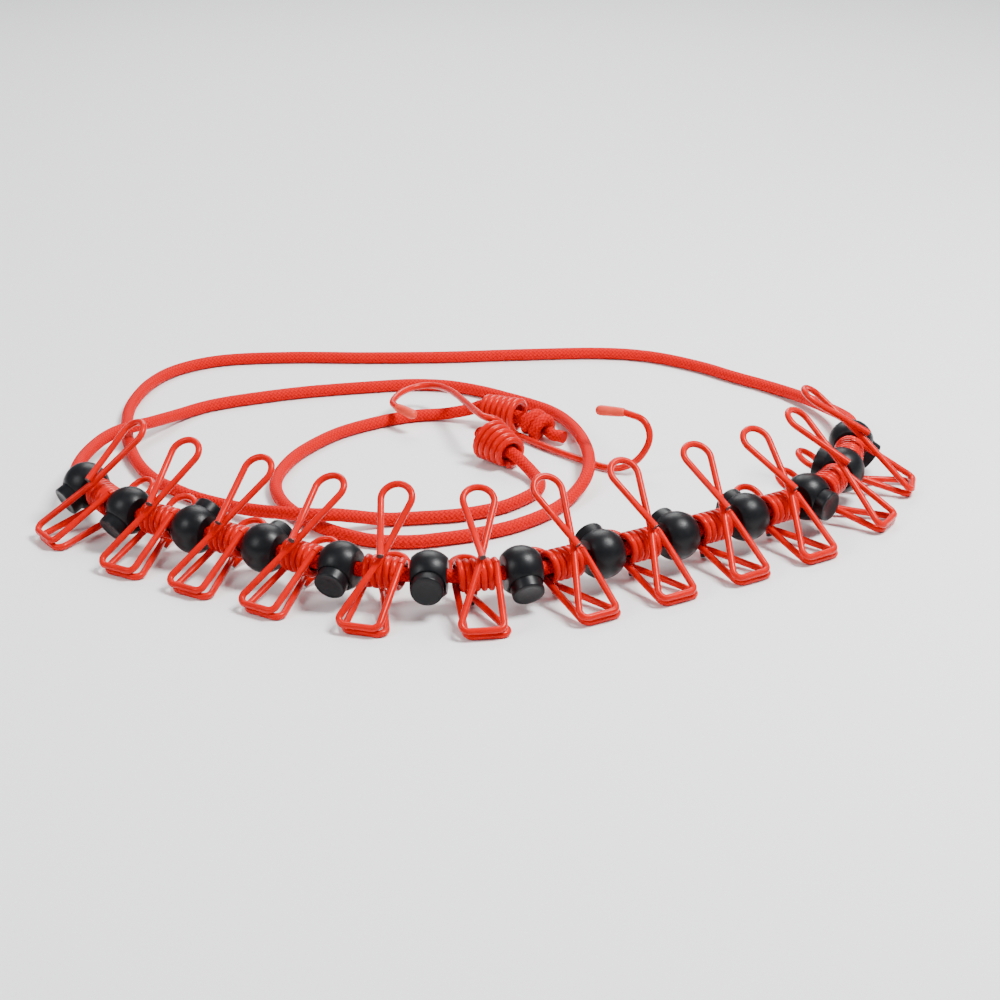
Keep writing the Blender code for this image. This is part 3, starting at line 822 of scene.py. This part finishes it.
def build_hooks(vinyl, orange):
    """Both end hooks: the wire, and the tip dipped on its end."""
    for letter, hook in HOOKS.items():
        centres = hook_centres(hook)
        direction = Vector(hook["tip"]).normalized()
        wire = sweep(f"hook_{letter}_bent_wire", place(centres + [centres[-1] + direction * TIP_ENTRY]),
                     HOOK_WIRE_RADIUS, WIRE_SIDES, vinyl)
        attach(wire, f"hook_{letter}")
        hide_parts(f"hook_{letter}_wire")
        spots = place([centres[-1] + direction * distance for distance, _ in TIP_PROFILE])
        tip = sweep(f"hook_{letter}_dipped_tip", spots, [radius for _, radius in TIP_PROFILE],
                    TIP_SIDES, orange)
        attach(tip, f"hook_{letter}")
        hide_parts(f"hook_{letter}_tip")


def knot_frame(hook):
    """Where the cord's knot starts, the way that it points, and two sides."""
    direction = Vector(hook["knot"]).normalized()
    side = direction.cross(Vector((0, 0, 1))).normalized()
    return Vector(hook["big"]) + direction * hook["knot_start"], direction, side


def knot_centres(hook):
    """A knot of two wraps, pulled tight, then its tail, along the knot's own direction."""
    base, direction, side = knot_frame(hook)
    rise = side.cross(direction)
    start = hook["wrap_start"]
    local = [(min(start, 0.0) - KNOT_OVERLAP, 0.0, 0.0)]
    steps = round(KNOT_WRAPS * KNOT_WRAP_STEPS)
    for step in range(steps + 1):
        share = step / steps
        angle = 2 * math.pi * (KNOT_WRAPS * share + KNOT_WRAP_TURN)
        fullness = KNOT_WRAP_NARROW + (1 - KNOT_WRAP_NARROW) * math.sin(math.pi * share)
        radius = hook["wrap_radius"] * fullness
        local.append((start + KNOT_WRAP_PITCH * KNOT_WRAPS * share,
                      radius * math.cos(angle), radius * math.sin(angle)))
    tail = hook["tail_end"] - hook["knot_start"]
    local += [(tail - back, y, z) for back, y, z in KNOT_TAIL]
    return [base + direction * x + side * y + rise * z for x, y, z in local]


def build_knots(braid):
    """The knot behind each hook's coil, on the cord's own end."""
    for letter, hook in HOOKS.items():
        centres = resample(catmull_rom(knot_centres(hook), KNOT_CURVE_STEPS), KNOT_RING_STEP)
        knot = sweep(f"cord_knot_{letter}", place(centres), CORD_RADIUS, CORD_SIDES, braid)
        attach(knot, "line")
        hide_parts(f"knot_{letter}")


# ---------------------------------------------------------------- cord

def coil_ends(hook):
    """Where the cord meets its knot, and where it leaves the small end of the hook's coil."""
    base, direction, _ = knot_frame(hook)
    small = Vector(hook["small"])
    axis = (Vector(hook["big"]) - small).normalized()
    return base + direction * KNOT_OVERLAP, small - axis * COIL_CORD_REACH


def cord_centres(frames):
    """The whole cord: hook A's coil, run A, the row from its far end, run B, hook B's coil."""
    knot_a, mouth_a = coil_ends(HOOKS["a"])
    knot_b, mouth_b = coil_ends(HOOKS["b"])
    row = []
    for centre, along, _ in reversed(frames):
        row += [centre + along * BALL_CORD_REACH, centre - along * BALL_CORD_REACH]
    route = [knot_a, mouth_a] + RUN_A + row + RUN_B + [mouth_b, knot_b]
    return resample(catmull_rom(route, CORD_CURVE_STEPS), CORD_RING_STEP)


def build_cord(frames, braid):
    """The cord in one piece, from knot to knot."""
    centres = place(cord_centres(frames))
    line = sweep("braided_cord", centres, CORD_RADIUS, CORD_SIDES, braid)
    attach(line, "line")
    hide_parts("cord")


# ---------------------------------------------------------------- stage

def build_stage():
    """White floor, pale world and three soft lights."""
    floor = bpy.data.meshes.new("floor")
    corners = [(x * FLOOR_HALF, y * FLOOR_HALF, 0) for x, y in ((-1, -1), (1, -1), (1, 1), (-1, 1))]
    floor.from_pydata(corners, [], [(0, 1, 2, 3)])
    floor.materials.append(white_sweep())
    sheet = add_object("floor", floor)
    sheet.location.z = -FLOOR_DROP
    world = bpy.data.worlds.new("studio")
    world.use_nodes = True
    background = world.node_tree.nodes["Background"]
    background.inputs["Color"].default_value = WORLD_COLOUR
    background.inputs["Strength"].default_value = WORLD_STRENGTH
    bpy.context.scene.world = world
    for name, spot, size, power in LIGHTS:
        lamp = bpy.data.lights.new(name, "AREA")
        lamp.size = size
        lamp.energy = power
        light = bpy.data.objects.new(name, lamp)
        light.location = spot
        light.rotation_euler = (-Vector(spot)).to_track_quat("-Z", "Y").to_euler()
        bpy.context.collection.objects.link(light)


def build_camera():
    """Camera at a low angle in front of the row."""
    tilt = math.radians(CAMERA_TILT)
    eye = Vector((0, -CAMERA_AWAY * math.cos(tilt), CAMERA_AWAY * math.sin(tilt)))
    lens = bpy.data.cameras.new("camera")
    lens.lens = CAMERA_LENS
    lens.sensor_width = CAMERA_SENSOR
    lens.clip_start = CAMERA_CLIP
    camera = bpy.data.objects.new("camera", lens)
    camera.location = place([eye])[0]
    camera.rotation_euler = (math.pi / 2 - tilt, 0, 0)
    bpy.context.collection.objects.link(camera)
    bpy.context.scene.camera = camera


def main():
    build_camera()
    build_stage()
    vinyl = vinyl_red()
    braid = braid_red()
    black = moulded_black()
    steel = bare_steel()
    frames = ball_frames()
    build_cord(frames, braid)
    build_knots(braid)
    build_balls(frames, black, steel)
    build_clips(frames, vinyl, steel)
    build_hooks(vinyl, dipped_orange())


main()
